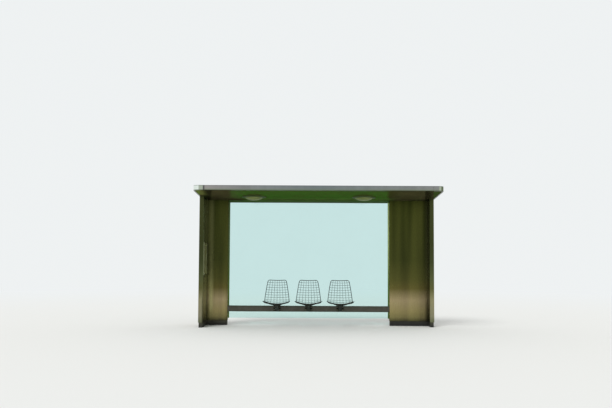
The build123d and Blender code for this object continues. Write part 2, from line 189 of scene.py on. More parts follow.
print("finishes")
steel = {
    # runs of tones by height in metres, one for each way a column's face looks; each run is painted
    # reflection and painted shade
    "panel": [(0.10, tone(70, 66, 48)), (0.17, tone(128, 119, 80)), (0.28, tone(150, 137, 93)),
              (0.50, tone(165, 148, 112)), (0.73, tone(92, 84, 45)), (0.92, tone(70, 70, 34)),
              (1.30, tone(48, 53, 22)), (2.50, tone(50, 56, 18))],
    "front": [(0.12, tone(104, 108, 88)), (0.22, tone(135, 130, 110)), (0.52, tone(142, 136, 106)),
              (0.74, tone(84, 84, 52)), (0.92, tone(72, 78, 54)), (1.25, tone(40, 49, 35)),
              (1.65, tone(29, 38, 26)), (2.40, tone(44, 51, 33))],
    "inner": [(0.12, tone(26, 34, 22)), (0.20, tone(32, 40, 24)), (0.38, tone(66, 69, 40)),
              (0.58, tone(92, 95, 65)), (0.75, tone(98, 101, 68)), (1.85, tone(98, 105, 73)),
              (2.40, tone(95, 101, 74))],
    "outside": [(0.10, tone(112, 106, 88)), (0.45, tone(150, 143, 120)), (0.95, tone(108, 106, 86)),
                (1.40, tone(90, 92, 72)), (2.50, tone(96, 99, 80))],
    "height": 2.5,
    # where one face ends and the next begins
    "panelY": (0.644, 0.648), "frontX": (2.176, 2.178), "rearY": (0.800, 0.806), "outerX": (2.255, 2.259),
    # soft bands, hair lines and patches
    "bandStretch": (4.5, 4.5, 0.22), "hairStretch": (900, 900, 5), "patches": 1.7, "cloud": (0.3, 0.72),
    "darkShare": 0.22, "lightShare": 0.07, "light": tone(200, 200, 100),
    "roughness": 0.27, "hairSwing": 0.14, "patchSwing": 0.12, "bump": (0.035, 0.0002),
    # painted shade: the right wing's inner side is the darker one, and the right panel darkens towards it
    "innerRight": 0.42, "innerRise": (0.2, 0.5), "farShade": 0.22, "farRise": (1.70, 2.05),
    # the left panel's pale band, brightest low down: a painted reflection
    "bandAt": -2.105, "bandWidth": 0.075, "bandTone": tone(215, 213, 148), "band": 0.125,
    "bandRise": (0.1, 0.3), "bandLow": 0.33, "lowRise": (0.2, 0.4), "lowFall": (0.5, 1.15),
    # by the inner corners a panel is paler high up and dark low down: painted highlight above, painted shade
    # below
    "cornerX": 2.175, "cornerWidth": 0.07, "cornerLift": 0.055, "liftRise": (0.6, 0.9),
    "cornerShade": 0.72, "cornerFall": (0.2, 0.72),
    # painted shade: the left panel is darker at the opening, and low down the left wing's front at its inner
    # fold
    "edgeX": 1.77, "edgeWidth": 0.08, "edgeShade": 0.36,
    "foldX": 2.178, "foldWidth": (0.0066, 0.022), "foldShade": 0.62, "foldFall": (0.45, 0.75),
}


def brushedSteel(name, values):
    # tones by height on each face, which are painted reflection and painted shade, with painted highlights
    # and shade by the corners, the opening and the left fold; broad soft bands and hair lines drawn up and
    # down the sheet
    made = Finish(name, metallic=0.95)
    share = made.z / values["height"]

    def run(face):
        # a face's run of tones by height: painted reflection and painted shade
        return made.ramp(share, [(at / values["height"], colour) for at, colour in values[face]])

    bands = made.noise(1.0, 1.0, values["bandStretch"])
    hairs = made.noise(1.0, 2.0, values["hairStretch"], 0.6)
    patches = made.noise(values["patches"], 3.0)
    across = abs(made.x)
    onRight = made.onRight()
    onLeft = 1 - onRight
    # painted shade on the right wing's inner side
    inner = made.mix(values["innerRight"] * onRight * share.step(*values["innerRise"]), run("inner"), black)

    # painted shade: the right panel darkens towards its wing
    panel = made.mix(values["farShade"] * made.x.step(*values["farRise"]), run("panel"), black)
    # painted reflection: the left panel's pale band, brightest low down
    low = made.z.step(*values["lowRise"]) * made.z.fall(*values["lowFall"])
    bright = values["band"] * made.z.step(*values["bandRise"]) + values["bandLow"] * low
    bright = bright * abs(made.x - values["bandAt"]).fall(0.0, values["bandWidth"])
    panel = made.mix(bright, panel, values["bandTone"])
    # painted highlight high up and painted shade low down by the inner corners
    near = (values["cornerX"] - across).fall(0.0, values["cornerWidth"])
    panel = made.mix(values["cornerLift"] * near * made.z.step(*values["liftRise"]), panel,
                     values["bandTone"])
    panel = made.mix(values["cornerShade"] * near * made.z.fall(*values["cornerFall"]), panel, black)
    # painted shade at the left panel's opening
    edge = onLeft * (across - values["edgeX"]).fall(0.0, values["edgeWidth"])
    panel = made.mix(values["edgeShade"] * edge, panel, black)

    # painted shade low down beside the left wing's inner fold
    fold = onLeft * made.z.fall(*values["foldFall"])
    fold = fold * (across - values["foldX"]).fall(*values["foldWidth"])
    front = made.mix(values["foldShade"] * fold, run("front"), black)

    wing = made.mix(across.step(*values["frontX"]), inner, front)
    base = made.mix(made.y.fall(*values["panelY"]), panel, wing)
    outside = (made.y.step(*values["rearY"]) + across.step(*values["outerX"])).clamp()
    base = made.mix(outside, base, run("outside"))
    dark = made.mix(values["darkShare"], base, black)
    light = made.mix(values["lightShare"], base, values["light"])
    made.set("Base Color", made.mix((bands * 0.8 + hairs * 0.2).step(*values["cloud"]), dark, light))
    made.rough(values["roughness"], (hairs, values["hairSwing"]), (patches, values["patchSwing"]))
    made.bump(hairs, *values["bump"])
    return made


coat = {"peel": 420.0, "cloud": (0.32, 0.72), "dust": tone(150, 146, 132), "dustShare": 0.12,
        "cloudSwing": 0.2, "peelSwing": 0.06, "bump": (0.05, 0.0003)}


def coatedMetal(name, colour, metallic, roughness, spread=0.18, scale=3.0, dirt=0.25, **constants):
    # even coat with cloudy shade, a fine peel and a little dust in the clouds
    made = Finish(name, metallic=metallic, **constants)
    clouds = made.noise(scale, 4.0, roughness=0.6)
    peel = made.noise(coat["peel"])
    dusty = made.mix(coat["dustShare"], colour, made.mix(dirt, colour, coat["dust"]))
    shaded = made.mix(spread, colour, black)
    made.set("Base Color", made.mix(clouds.step(*coat["cloud"]), shaded, dusty))
    made.rough(roughness, (clouds, coat["cloudSwing"]), (peel, coat["peelSwing"]))
    made.bump(peel, *coat["bump"])
    return made


finishes = {
    "cladding": brushedSteel("claddingSteel", steel),
    "frame": coatedMetal("frameZinc", tone(120, 124, 126), 0.7, 0.5, 0.3, 18.0),
    "gasket": coatedMetal("gasketRubber", tone(30, 31, 30), 0.0, 0.75),
    "case": coatedMetal("caseAluminium", tone(120, 124, 92), 0.9, 0.34),
    # the lamp trim's green is a painted reflection, matched to the soffit's
    "lampTrim": coatedMetal("lampTrimCoat", tone(70, 86, 44), 0.0, 0.6, Specular_IOR_Level=0.15),
    # the head rail's green is a painted reflection, lighter than its shaded place under the roof
    "rail": coatedMetal("railCoat", tone(58, 100, 30), 0.0, 0.55),
    "seal": coatedMetal("jointSeal", tone(52, 52, 46), 0.0, 0.7),
    "wire": coatedMetal("wireCoat", tone(16, 26, 16), 0.0, 0.45, 0.3, 30.0, 0.1, Specular_IOR_Level=0.3),
    "bracket": coatedMetal("bracketCoat", tone(34, 38, 28), 0.0, 0.55, 0.3, 24.0, 0.15,
                           Specular_IOR_Level=0.15),
    "fixing": coatedMetal("fixingSteel", tone(120, 118, 100), 1.0, 0.3, 0.2, 60.0),
}

plinth = {"top": tone(62, 61, 45), "foot": tone(30, 31, 28), "height": 0.095, "roughness": 0.5,
          "scuffs": 22.0, "scuffStretch": (1, 1, 2.5), "scuffCloud": (0.35, 0.75), "scuffShade": 0.3,
          "scuffSwing": 0.25, "rightShade": 0.55, "panelY": (0.60, 0.62), "bump": (0.05, 0.0003)}


def plinthSteel(values):
    # dark coated sheet, scuffed, darker towards the ground, and darker under the right panel by painted
    # shade
    made = Finish("plinthCoat", metallic=0.3)
    scuffs = made.noise(values["scuffs"], 4.0, values["scuffStretch"], 0.6)
    colour = made.mix(made.z.step(0.0, values["height"]), values["foot"], values["top"])
    # painted shade under the right panel
    under = made.onRight() * made.y.step(*values["panelY"])
    shade = values["scuffShade"] * scuffs.step(*values["scuffCloud"]) + values["rightShade"] * under
    made.set("Base Color", made.mix(shade.clamp(), colour, black))
    made.rough(values["roughness"], (scuffs, values["scuffSwing"]))
    made.bump(made.noise(coat["peel"]), *values["bump"])
    return made


deck = {"sheet": tone(154, 157, 156), "shade": tone(138, 141, 140), "dust": tone(126, 124, 112),
        "spangle": 90.0, "streaks": (16, 0.7, 1), "clouds": 2.2, "cloud": (0.35, 0.7),
        "dustShare": 0.15, "rearDust": 0.45, "rear": (0.30, 0.80),
        "roughness": 0.42, "patchSwing": 0.12, "cloudSwing": 0.2, "bump": (0.04, 0.0003)}


def deckSheet(values):
    # galvanised sheet: small crystal patches, rain streaks down the fall and dust along the low side
    made = Finish("deckGalvanised", metallic=0.75)
    crystals = made.node("ShaderNodeTexVoronoi", {}, {"Vector": made.place, "Scale": values["spangle"]}, 1)
    patch = made.node("ShaderNodeSeparateColor", {}, [crystals])
    streaks = made.noise(1.0, 3.0, values["streaks"], 0.6)
    clouds = made.noise(values["clouds"], 4.0, roughness=0.6)
    sheet = made.mix((patch * 0.5 + streaks * 0.5).step(0.25, 0.75), values["shade"], values["sheet"])
    dusty = values["dustShare"] + made.y.step(*values["rear"]) * values["rearDust"]
    made.set("Base Color", made.mix(dusty * clouds.step(*values["cloud"]), sheet, values["dust"]))
    made.rough(values["roughness"], (patch, values["patchSwing"]), (clouds, values["cloudSwing"]))
    made.bump(patch, *values["bump"])
    return made


# pale, leftPale and dark are painted reflection by height and side
channel = {"pale": tone(190, 208, 138), "leftPale": tone(100, 122, 76), "dark": tone(94, 120, 52),
           "rise": (0.5, 1.9), "lines": (400, 400, 3), "scuffs": 14.0, "scuffShade": 0.2,
           "roughness": 0.38, "lineSwing": 0.2, "bump": (0.05, 0.0002)}


def channelMetal(values):
    # satin section drawn up and down, paler towards the roof and on the right by painted reflection
    made = Finish("channelAluminium", metallic=0.85)
    lines = made.noise(1.0, 2.0, values["lines"])
    scuffs = made.noise(values["scuffs"], 4.0)
    # painted reflection: paler on the right and towards the roof
    pale = made.mix(made.onRight(), values["leftPale"], values["pale"])
    colour = made.mix(made.z.step(*values["rise"]), values["dark"], pale)
    made.set("Base Color", made.mix(values["scuffShade"] * scuffs.step(0.3, 0.7), colour, black))
    made.rough(values["roughness"], (lines, values["lineSwing"]))
    made.bump(lines, *values["bump"])
    return made


fascia = {
    # tones from the left end, 0, to the right end, 1
    "run": [(0.0, tone(158, 152, 148)), (0.28, tone(132, 136, 136)), (0.5, tone(121, 130, 130)),
            (1.0, tone(144, 145, 142))],
    "length": 4.56, "bottom": 2.543, "height": 0.09, "front": (-0.80, -0.70),
    "lines": (5, 700, 700), "streaks": (9, 9, 0.8), "clouds": 0.8, "cloud": (0.34, 0.68), "streak": 0.2,
    "lower": tone(122, 136, 106), "lowerShare": 0.55, "lowerFall": (0.0, 0.55),
    # the left corner's painted highlight, a brighter painted highlight at its end, and painted shade along
    # its seam
    "cornerX": (2.085, 2.091), "cornerTone": tone(168, 176, 160),
    "glintX": (2.165, 2.185), "glint": tone(228, 236, 228),
    "seamAt": -2.083, "seamWidth": (0.0105, 0.021), "seamTone": tone(78, 77, 78), "seamShare": 0.8,
    # the right corner: a painted highlight band and a darker painted reflection at its end
    "bandAt": 2.207, "bandWidth": (0.013, 0.026), "bandTone": tone(170, 178, 158),
    "farX": (2.2226, 2.233), "farTone": tone(94, 106, 76),
    # painted shade on both folded edges, which turn away from the sky; they are given in shares of the
    # height
    "topFold": (0.88, 0.94), "topTone": tone(92, 94, 98), "topShare": 0.7,
    "lowFold": (0.07, 0.12), "lowTone": tone(58, 66, 44), "lowShare": 0.85,
    "roughness": 0.3, "lineSwing": 0.12, "cloudSwing": 0.08, "bump": (0.03, 0.0002),
}


def fasciaSteel(values):
    # pale satin sheet brushed along X, greener low down, brighter on the two front corners by painted
    # highlights, with painted shade along the left seam and on both folded edges
    made = Finish("fasciaSteel", metallic=0.9)
    lines = made.noise(1.0, 2.0, values["lines"], 0.6)
    streaks = made.noise(1.0, 2.0, values["streaks"])
    clouds = made.noise(values["clouds"])
    colour = made.mix(values["streak"] * (streaks * 0.4 + clouds * 0.6).fall(*values["cloud"]),
                      made.ramp(made.x / values["length"] + 0.5, values["run"]), black)
    up = (made.z - values["bottom"]) / values["height"]
    colour = made.mix(values["lowerShare"] * up.fall(*values["lowerFall"]), colour, values["lower"])
    front = made.y.fall(*values["front"])
    leftward = -1 * made.x
    seam = abs(made.x - values["seamAt"]).fall(*values["seamWidth"])
    band = abs(made.x - values["bandAt"]).fall(*values["bandWidth"])
    # painted highlights and shade on the front face: the left corner and its end, the seam, the right end
    # and the right band
    for share, over in ((leftward.step(*values["cornerX"]), "cornerTone"),
                        (leftward.step(*values["glintX"]), "glint"),
                        (values["seamShare"] * seam, "seamTone"),
                        (made.x.step(*values["farX"]), "farTone"), (band, "bandTone")):
        colour = made.mix(share * front, colour, values[over])
    # painted shade on the top and lower folded edges
    colour = made.mix(values["topShare"] * up.step(*values["topFold"]), colour, values["topTone"])
    colour = made.mix(values["lowShare"] * up.fall(*values["lowFold"]), colour, values["lowTone"])
    made.set("Base Color", colour)
    made.rough(values["roughness"], (lines, values["lineSwing"]), (clouds, values["cloudSwing"]))
    made.bump(lines, *values["bump"])
    return made


soffit = {
    "lining": tone(78, 73, 47), "shade": tone(69, 64, 43), "cloud": (0.3, 0.7),
    "roughness": 0.5, "cloudSwing": 0.2,
    # painted reflection: greener over the opening than over the columns, most of all at the back
    "open": (1.3, 1.6), "openShare": 0.7, "openTone": tone(64, 66, 30),
    "rear": (0.15, 0.45), "rearTone": tone(80, 101, 49),
    # the paler left end, a painted reflection that fades out towards the back
    "endX": (2.05, 2.18), "endFade": (-0.32, 0.08), "endShare": 0.46, "endTone": tone(128, 136, 72),
    # painted reflection of each wing: a dark stripe that leans inwards to the front, the left one wider;
    # past the right one the end is dimmer, with painted shade and less of the painted green reflection
    "lean": 0.13, "stripeFrom": (2.025, 2.065), "stripeTo": 2.145, "leftWider": 0.04,
    "stripeEnd": (-0.03, 0.05), "stripeShade": 0.62, "pastShade": 0.25, "pastDim": 0.5,
    # the glossy shader's green is a painted reflection; it is weaker close behind the front lip, as painted
    # shade, and towards the left end
    "sheen": (0.07, 0.62, 0.04, 1.0), "sheenShare": 0.105, "sheenRoughness": 0.12,
    "waves": (1.2, 2.0, 1), "lip": (-0.85, -0.63), "lipShare": 0.35, "leftDim": (1.35, 1.72), "leftDimShare": 0.4,
}


def soffitSheet(values):
    # dark lining whose tones carry painted reflections and painted shade; a glossy shader, tinted with a
    # painted green reflection, is mixed in
    made = Finish("soffitLining", metallic=0.0, Specular_IOR_Level=0.0)
    clouds = made.noise(3.0, 3.0, roughness=0.6)
    waves = made.noise(1.0, 1.0, values["waves"])
    lining = made.mix(clouds.step(*values["cloud"]), values["shade"], values["lining"])
    across = abs(made.x)
    onRight = made.onRight()
    onLeft = 1 - onRight
    # painted reflection: greener over the opening, greenest at the back
    over = across.fall(*values["open"])
    lining = made.mix(over * values["openShare"], lining, values["openTone"])
    lining = made.mix(over * made.y.step(*values["rear"]), lining, values["rearTone"])

    # painted reflection of each wing as a dark stripe; past the right one, painted shade
    leaning = across - values["lean"] * made.y
    past = (leaning - (values["stripeTo"] + values["leftWider"] * onLeft)).step(*values["stripeEnd"])
    stripe = leaning.step(*values["stripeFrom"]) * (1 - past)
    past = past * onRight
    lining = made.mix(values["stripeShade"] * stripe + values["pastShade"] * past, lining, black)
    # painted reflection: the paler left end
    end = (-1 * made.x).step(*values["endX"]) * made.y.fall(*values["endFade"])
    made.set("Base Color", made.mix(values["endShare"] * end, lining, values["endTone"]))
    made.rough(values["roughness"], (clouds, values["cloudSwing"]))

    # glossy shader tinted with a painted green reflection
    gloss = made.node("ShaderNodeBsdfAnisotropic", {}, {
        "Color": values["sheen"], "Roughness": values["sheenRoughness"]})
    # painted shade: the green reflection is weaker close behind the front lip
    inside = values["lipShare"] + made.y.step(*values["lip"]) * (1 - values["lipShare"])
    share = values["sheenShare"] * (0.9 + waves * 0.2) * inside * (1 - values["pastDim"] * past)
    made.cover(share * (1 - values["leftDimShare"] * onLeft * across.step(*values["leftDim"])), gloss)
    return made


# edge is painted shade along the top and bottom of the beam
beam = {"side": tone(80, 78, 70), "shade": tone(66, 66, 56), "edge": tone(44, 50, 34),
        "middle": 0.3255, "half": 0.0575, "edgeRise": (0.45, 1.0), "edgeShare": 0.7,
        "lines": (5, 160, 160), "scuffs": 9.0, "cloud": (0.36, 0.66),
        "roughness": 0.4, "scuffSwing": 0.2, "bump": (0.06, 0.0004)}


def beamSteel(values):
    # satin grey hollow section, drawn along X, with faint scuffs and painted shade along its top and bottom
    # edges
    made = Finish("beamSteel", metallic=0.6)
    lines = made.noise(1.0, 3.0, values["lines"], 0.6)
    scuffs = made.noise(values["scuffs"], 5.0, roughness=0.65)
    colour = made.mix((lines * 0.4 + scuffs * 0.6).step(*values["cloud"]), values["shade"], values["side"])
    # painted shade: darker towards the top and bottom edges
    away = abs(made.z - values["middle"]) / values["half"]
    edge = values["edgeShare"] * away.step(*values["edgeRise"])
    made.set("Base Color", made.mix(edge, colour, values["edge"]))
    made.rough(values["roughness"], (scuffs, values["scuffSwing"]))
    made.bump(lines, *values["bump"])
    return made


glass = {"tint": (0.65, 0.865, 0.845, 1.0), "shadow": (0.60, 0.80, 0.78, 1.0), "roughness": 0.0,
         "index": 1.5, "film": 1.4, "filmCloud": (0.3, 0.75), "filmShade": 0.985}
cover = {**glass, "tint": (0.95, 0.975, 0.96, 1.0), "shadow": (0.9, 0.95, 0.93, 1.0)}


def glassPane(name, values):
    # toughened sheet; its shade on other things is the tint of one full crossing
    made = Finish(name, metallic=0.0, roughness=values["roughness"], Transmission_Weight=1.0,
                  IOR=values["index"])
    film = made.noise(values["film"], 4.0, roughness=0.6)
    filmed = tuple(values["filmShade"] * part for part in values["tint"][:3]) + (1.0,)
    made.set("Base Color", made.mix(film.step(*values["filmCloud"]), values["tint"], filmed))
    clear = made.node("ShaderNodeBsdfTransparent", {}, [values["shadow"]])
    made.cover(made.node("ShaderNodeLightPath", {}, [], "Is Shadow Ray"), clear)
    return made


# the dish's dim green tones are painted shade and painted reflection of green surroundings
opal = {"dish": tone(128, 138, 82), "rim": tone(112, 124, 72), "roughness": 0.45,
        "clouds": 14.0, "cloud": (0.3, 0.7), "bump": (0.04, 0.002)}


def opalDish(values):
    # moulded dish with cloudy shade and a slight unevenness
    made = Finish("opalDish", metallic=0.0, roughness=values["roughness"], Specular_IOR_Level=0.15)
    clouds = made.noise(values["clouds"], 3.0)
    made.set("Base Color", made.mix(clouds.step(*values["cloud"]), values["rim"], values["dish"]))
    made.bump(clouds, *values["bump"])
    return made


sheet = {"paper": tone(112, 114, 96), "ink": tone(70, 74, 62), "row": 0.022, "column": 0.072,
         "rowLine": 0.12, "columnLine": 0.05, "rowShare": 0.6, "inkShare": 0.7, "cloudShare": 0.1}


def timetableSheet(values):
    # plain pale sheet ruled into a generic grid of rows and columns
    made = Finish("timetableSheet", metallic=0.0, roughness=0.6)

    def rule(part, pitch, width):
        along = part / pitch
        return along.math("FRACT", along).fall(width * 0.6, width)

    rows = rule(made.z, values["row"], values["rowLine"])
    columns = rule(made.y, values["column"], values["columnLine"])
    grid = (rows * values["rowShare"] + columns).clamp()
    inked = grid * values["inkShare"] + made.noise(30.0, 3.0) * values["cloudShare"]
    made.set("Base Color", made.mix(inked.clamp(), values["paper"], values["ink"]))
    return made


finishes["plinth"] = plinthSteel(plinth)
finishes["deck"] = deckSheet(deck)
finishes["channel"] = channelMetal(channel)
finishes["fascia"] = fasciaSteel(fascia)
finishes["soffit"] = soffitSheet(soffit)
finishes["beam"] = beamSteel(beam)
finishes["glass"] = glassPane("glassPane", glass)
finishes["cover"] = glassPane("coverSheet", cover)
finishes["opal"] = opalDish(opal)
finishes["sheet"] = timetableSheet(sheet)


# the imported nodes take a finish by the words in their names
finishOfNode = [
    ("lamp_ring", "lampTrim"), ("lamp_dome", "opal"), ("fascia", "fascia"), ("wing_cladding", "cladding"),
    ("rear_panel", "cladding"), ("plinth", "plinth"), ("post_frame", "frame"), ("roof_frame", "frame"),
    ("rain_outlet", "frame"), ("glazing_channel", "channel"), ("head_rail", "rail"),
    ("gaskets", "gasket"), ("glass_pane", "glass"), ("roof_deck", "deck"), ("soffit", "soffit"),
    ("bench_beam", "beam"), ("seat_bracket", "bracket"), ("wire_seat", "wire"),
    ("timetable_frame", "case"), ("timetable_back", "sheet"), ("timetable_cover", "cover"),
]
for nodeName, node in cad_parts.items():
    key = next(finish for words, finish in finishOfNode if words in nodeName)
    node.data.materials.clear()
    node.data.materials.append(finishes[key].material)


def gridFaces(rows, columns, closedRows=False, closedColumns=False):
    # quads of a grid of rows by columns points, joined round where it is closed
    r = np.arange(rows if closedRows else rows - 1)[:, None]
    c = np.arange(columns if closedColumns else columns - 1)[None, :]
    r2, c2 = (r + 1) % rows, (c + 1) % columns
    corners = [r * columns + c, r * columns + c2, r2 * columns + c2, r2 * columns + c]
    return np.stack(np.broadcast_arrays(*corners), axis=-1).reshape(-1, 4).tolist()


def cappedFaces(rows, sides):
    # rings of points joined into a closed form, with one face over each end
    faces = gridFaces(rows, sides, False, True)
    return faces + [list(range(sides))[::-1], list(range((rows - 1) * sides, rows * sides))]


def circle(count):
    # even angles once round
    return np.linspace(0, 2 * math.pi, count, endpoint=False)


def centreOf(name):
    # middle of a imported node's box
    low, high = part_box(name)
    return [(a + b) / 2 for a, b in zip(low, high)]


def squareTo(normal):
    # the direction made a unit long, with two more that are square to it and to each other
    normal = np.asarray(normal, float) / np.linalg.norm(normal)
    helper = np.array([0, 0, 1.0]) if abs(normal[2]) < 0.9 else np.array([1.0, 0, 0])
    first = np.cross(normal, helper)
    first /= np.linalg.norm(first)
    return normal, first, np.cross(normal, first)


def addPiece(name, parts, finish, smooth=True):
    # one mesh from parts of (points, faces), riding on the shelter
    points, faces, start = [], [], 0
    for partPoints, partFaces in parts:
        flat = np.asarray(partPoints, float).reshape(-1, 3)
        points.append(flat)
        faces += [[i + start for i in face] for face in partFaces]
        start += len(flat)
    mesh = bpy.data.meshes.new(name)
    mesh.from_pydata(np.concatenate(points).tolist(), [], faces)
    mesh.polygons.foreach_set("use_smooth", [smooth] * len(mesh.polygons))
    mesh.materials.append(finishes[finish].material)
    mesh.update()
    piece = bpy.data.objects.new(name, mesh)
    bpy.context.scene.collection.objects.link(piece)
    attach(piece, "root")
    return piece


def tube(path, radius, sides=8, closed=False, side=(1, 0, 0)):
    # a circle carried square to a path of points; the radius is one number or one a point
    path = np.asarray(path, float)
    radius = np.broadcast_to(np.asarray(radius, float), len(path))[:, None, None]
    if closed:
        tangent = np.roll(path, -1, 0) - np.roll(path, 1, 0)
    else:
        tangent = np.gradient(path, axis=0)
    tangent /= np.linalg.norm(tangent, axis=1, keepdims=True)
    first = np.cross(tangent, np.broadcast_to(np.asarray(side, float), path.shape))
    first /= np.linalg.norm(first, axis=1, keepdims=True)
    second = np.cross(tangent, first)
    turn = circle(sides)[None, :, None]
    points = path[:, None] + radius * (np.cos(turn) * first[:, None] + np.sin(turn) * second[:, None])
    return points, gridFaces(len(path), sides, True, True) if closed else cappedFaces(len(path), sides)


def dome(centre, normal, radius, height, rings=4, sides=12):
    # a low cap on a flat face: radius by cosine and height by sine of one angle, which
    # stops short of a quarter turn, so that the top is a small flat
    normal, first, second = squareTo(normal)
    lift = np.linspace(0, math.pi / 2 * 0.86, rings)[:, None, None]
    turn = circle(sides)[None, :, None]
    out = np.cos(turn) * first + np.sin(turn) * second
    points = np.asarray(centre, float) + radius * np.cos(lift) * out + height * np.sin(lift) * normal
    return points, cappedFaces(rings, sides)


print("wire seats")
seat = {
    "frontWidth": 0.536, "topWidth": 0.366, "frontHeight": 0.441, "reach": 0.455,
    "panSlope": 3.0, "panRun": 0.300, "bendRadius": 0.085, "recline": 13.0, "backRun": 0.400,
    "lipRadius": 0.040, "lipAngle": 30.0, "sideRise": 0.048,
    # the rim is thicker in front; its corners are rounded in u and in t
    "rod": 0.012, "frontRod": 0.022, "frontEnd": 0.03, "cornerU": 0.22, "cornerT": 0.05,
    "cornerPoints": 14, "rimPoints": 260, "rimSides": 12,
    "wire": 0.0060, "longWires": 7, "crossWires": 16, "longPoints": 70, "crossPoints": 16, "wireSides": 6,
    "plateWidth": 0.240, "plateDepth": 0.150, "plateSheet": 0.006, "plateEase": 0.001,
    "plateInset": 0.97, "plateCorner": 0.22, "platePoints": 48,
    "gussetSpan": 0.56, "gussetDepth": 0.018, "gussetSheet": 0.005, "gussetTop": 0.45, "gussetPoints": 25,
}
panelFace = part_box("left_rear_panel")[0].y


def seatSurface(values, midX, u, t, lift=0.0):
    # side view of lip arc, pan, bend arc and back as one run t; u bows the sides up,
    # and the sides close in with the square of t
    pan = math.radians(-values["panSlope"])
    turn = math.radians(90 - values["recline"] + values["panSlope"])
    lip = math.radians(values["lipAngle"])
    lipR, panRun, bendR = values["lipRadius"], values["panRun"], values["bendRadius"]
    lipRun, bendRun = lipR * lip, bendR * turn
    u, t = np.broadcast_arrays(np.asarray(u, float), np.asarray(t, float))
    s = t * (lipRun + panRun + bendRun + values["backRun"]) - lipRun
    angle = np.where(s < 0, pan - s / lipR, pan + np.clip((s - panRun) / bendR, 0, turn))
    y0, z0 = panelFace - values["reach"] + lipR, values["frontHeight"] - lipR
    startY, startZ = y0 - lipR * math.sin(pan), z0 + lipR * math.cos(pan)
    flat = np.clip(s, 0, panRun)
    endY, endZ = startY + flat * math.cos(pan), startZ + flat * math.sin(pan)
    bent = np.clip(s - panRun, 0, bendRun) / bendR + pan
    y = endY + bendR * (np.sin(bent) - math.sin(pan))
    z = endZ - bendR * (np.cos(bent) - math.cos(pan))
    rest = np.clip(s - panRun - bendRun, 0, None)
    y, z = y + rest * np.cos(angle), z + rest * np.sin(angle)
    y = np.where(s < 0, y0 - lipR * np.sin(angle), y)
    z = np.where(s < 0, z0 + lipR * np.cos(angle), z)
    half = (values["frontWidth"] + (values["topWidth"] - values["frontWidth"]) * t * t - values["rod"]) / 2
    rise = values["sideRise"] * u * u + lift
    return np.stack([midX + u * half, y - rise * np.sin(angle), z + rise * np.cos(angle)], axis=-1)


def seatOutline(values):
    # rounded rectangle in u and t, corner by corner, joined by straight runs
    quarter = np.linspace(0, math.pi / 2, values["cornerPoints"])
    cu, ct = values["cornerU"], values["cornerT"]
    us, ts = [], []
    for k, (mid, high) in enumerate([(1 - cu, 1 - ct), (-1 + cu, 1 - ct), (-1 + cu, ct), (1 - cu, ct)]):
        turn = quarter + k * math.pi / 2
        us.append(mid + cu * np.cos(turn))
        ts.append(high + ct * np.sin(turn))
    u, t = np.concatenate(us), np.concatenate(ts)
    gap = np.hypot(np.diff(u, append=u[0]), np.diff(t, append=t[0]) * 2)
    run = np.concatenate([[0], np.cumsum(gap)])
    even = np.linspace(0, run[-1], values["rimPoints"], endpoint=False)
    return np.interp(even, run, np.append(u, u[0])), np.interp(even, run, np.append(t, t[0]))


def wireSeat(values, midX):
    # the rim rod, the long wires behind the surface and the cross wires in front of it;
    # the three numbers at a tube's end are a direction that its path never takes
    u, t = seatOutline(values)
    front = np.clip(1 - t / values["frontEnd"], 0, 1)
    thick = values["rod"] + (values["frontRod"] - values["rod"]) * front * front * (3 - 2 * front)
    parts = [tube(seatSurface(values, midX, u, t), thick / 2, values["rimSides"], True, (0.31, 0.83, 0.46))]
    half = values["wire"] / 2
    runs = np.linspace(0, 1, values["longPoints"])
    for at in np.linspace(-1, 1, values["longWires"] + 2)[1:-1]:
        parts.append(tube(seatSurface(values, midX, at, runs, -half), half, values["wireSides"]))
    spread = np.linspace(-1, 1, values["crossPoints"])
    for at in np.linspace(0, 1, values["crossWires"] + 2)[1:-1]:
        parts.append(tube(seatSurface(values, midX, spread, at, half), half, values["wireSides"],
                          False, (0, 1, 0.37)))
    return parts


def panPoint(x, run):
    # a point on the flat of the pan, run behind the lip, with the directions along it and up from it
    pan, lip = math.radians(-seat["panSlope"]), seat["lipRadius"]
    along, up = np.array([0, math.cos(pan), math.sin(pan)]), np.array([0, -math.sin(pan), math.cos(pan)])
    start = np.array([x, panelFace - seat["reach"] + lip * (1 - math.sin(pan)),
                      seat["frontHeight"] - lip * (1 - math.cos(pan))])
    return start + run * along, along, up


def panPlate(values, midX):
    # flat plate under the middle of the pan: a rounded rectangle, whose sine and cosine are
    # raised to a low power, in four levels that ease its edges
    centre, along, up = panPoint(midX, values["panRun"] / 2)
    turn = circle(values["platePoints"])[:, None]
    wide, deep = [np.sign(part) * np.abs(part) ** values["plateCorner"] * size / 2 for part, size in
                  ((np.cos(turn), values["plateWidth"]), (np.sin(turn), values["plateDepth"]))]
    thick, ease, inset = values["plateSheet"], values["plateEase"], values["plateInset"]
    levels = [(inset, -thick), (1.0, ease - thick), (1.0, -ease), (inset, 0.0)]
    points = np.stack([centre + size * (wide * np.array([1.0, 0, 0]) + deep * along) + lift * up
                       for size, lift in levels])
    return points, cappedFaces(len(levels), values["platePoints"])


def frontGusset(values, midX):
    # thin plate welded under the front bar: its depth falls from the middle by the square of u
    u = np.linspace(-values["gussetSpan"], values["gussetSpan"], values["gussetPoints"])
    bar = seatSurface(values, midX, u, 0.0)
    top, half = values["frontRod"] * values["gussetTop"], values["gussetSheet"] / 2
    deep = top + values["gussetDepth"] * (1 - (u / values["gussetSpan"]) ** 2)
    corners = [bar + np.stack([0 * u, 0 * u + y, z], -1)
               for y, z in ((-half, -deep), (half, -deep), (half, 0 * u), (-half, 0 * u))]
    return np.stack(corners, axis=1), cappedFaces(len(u), 4)


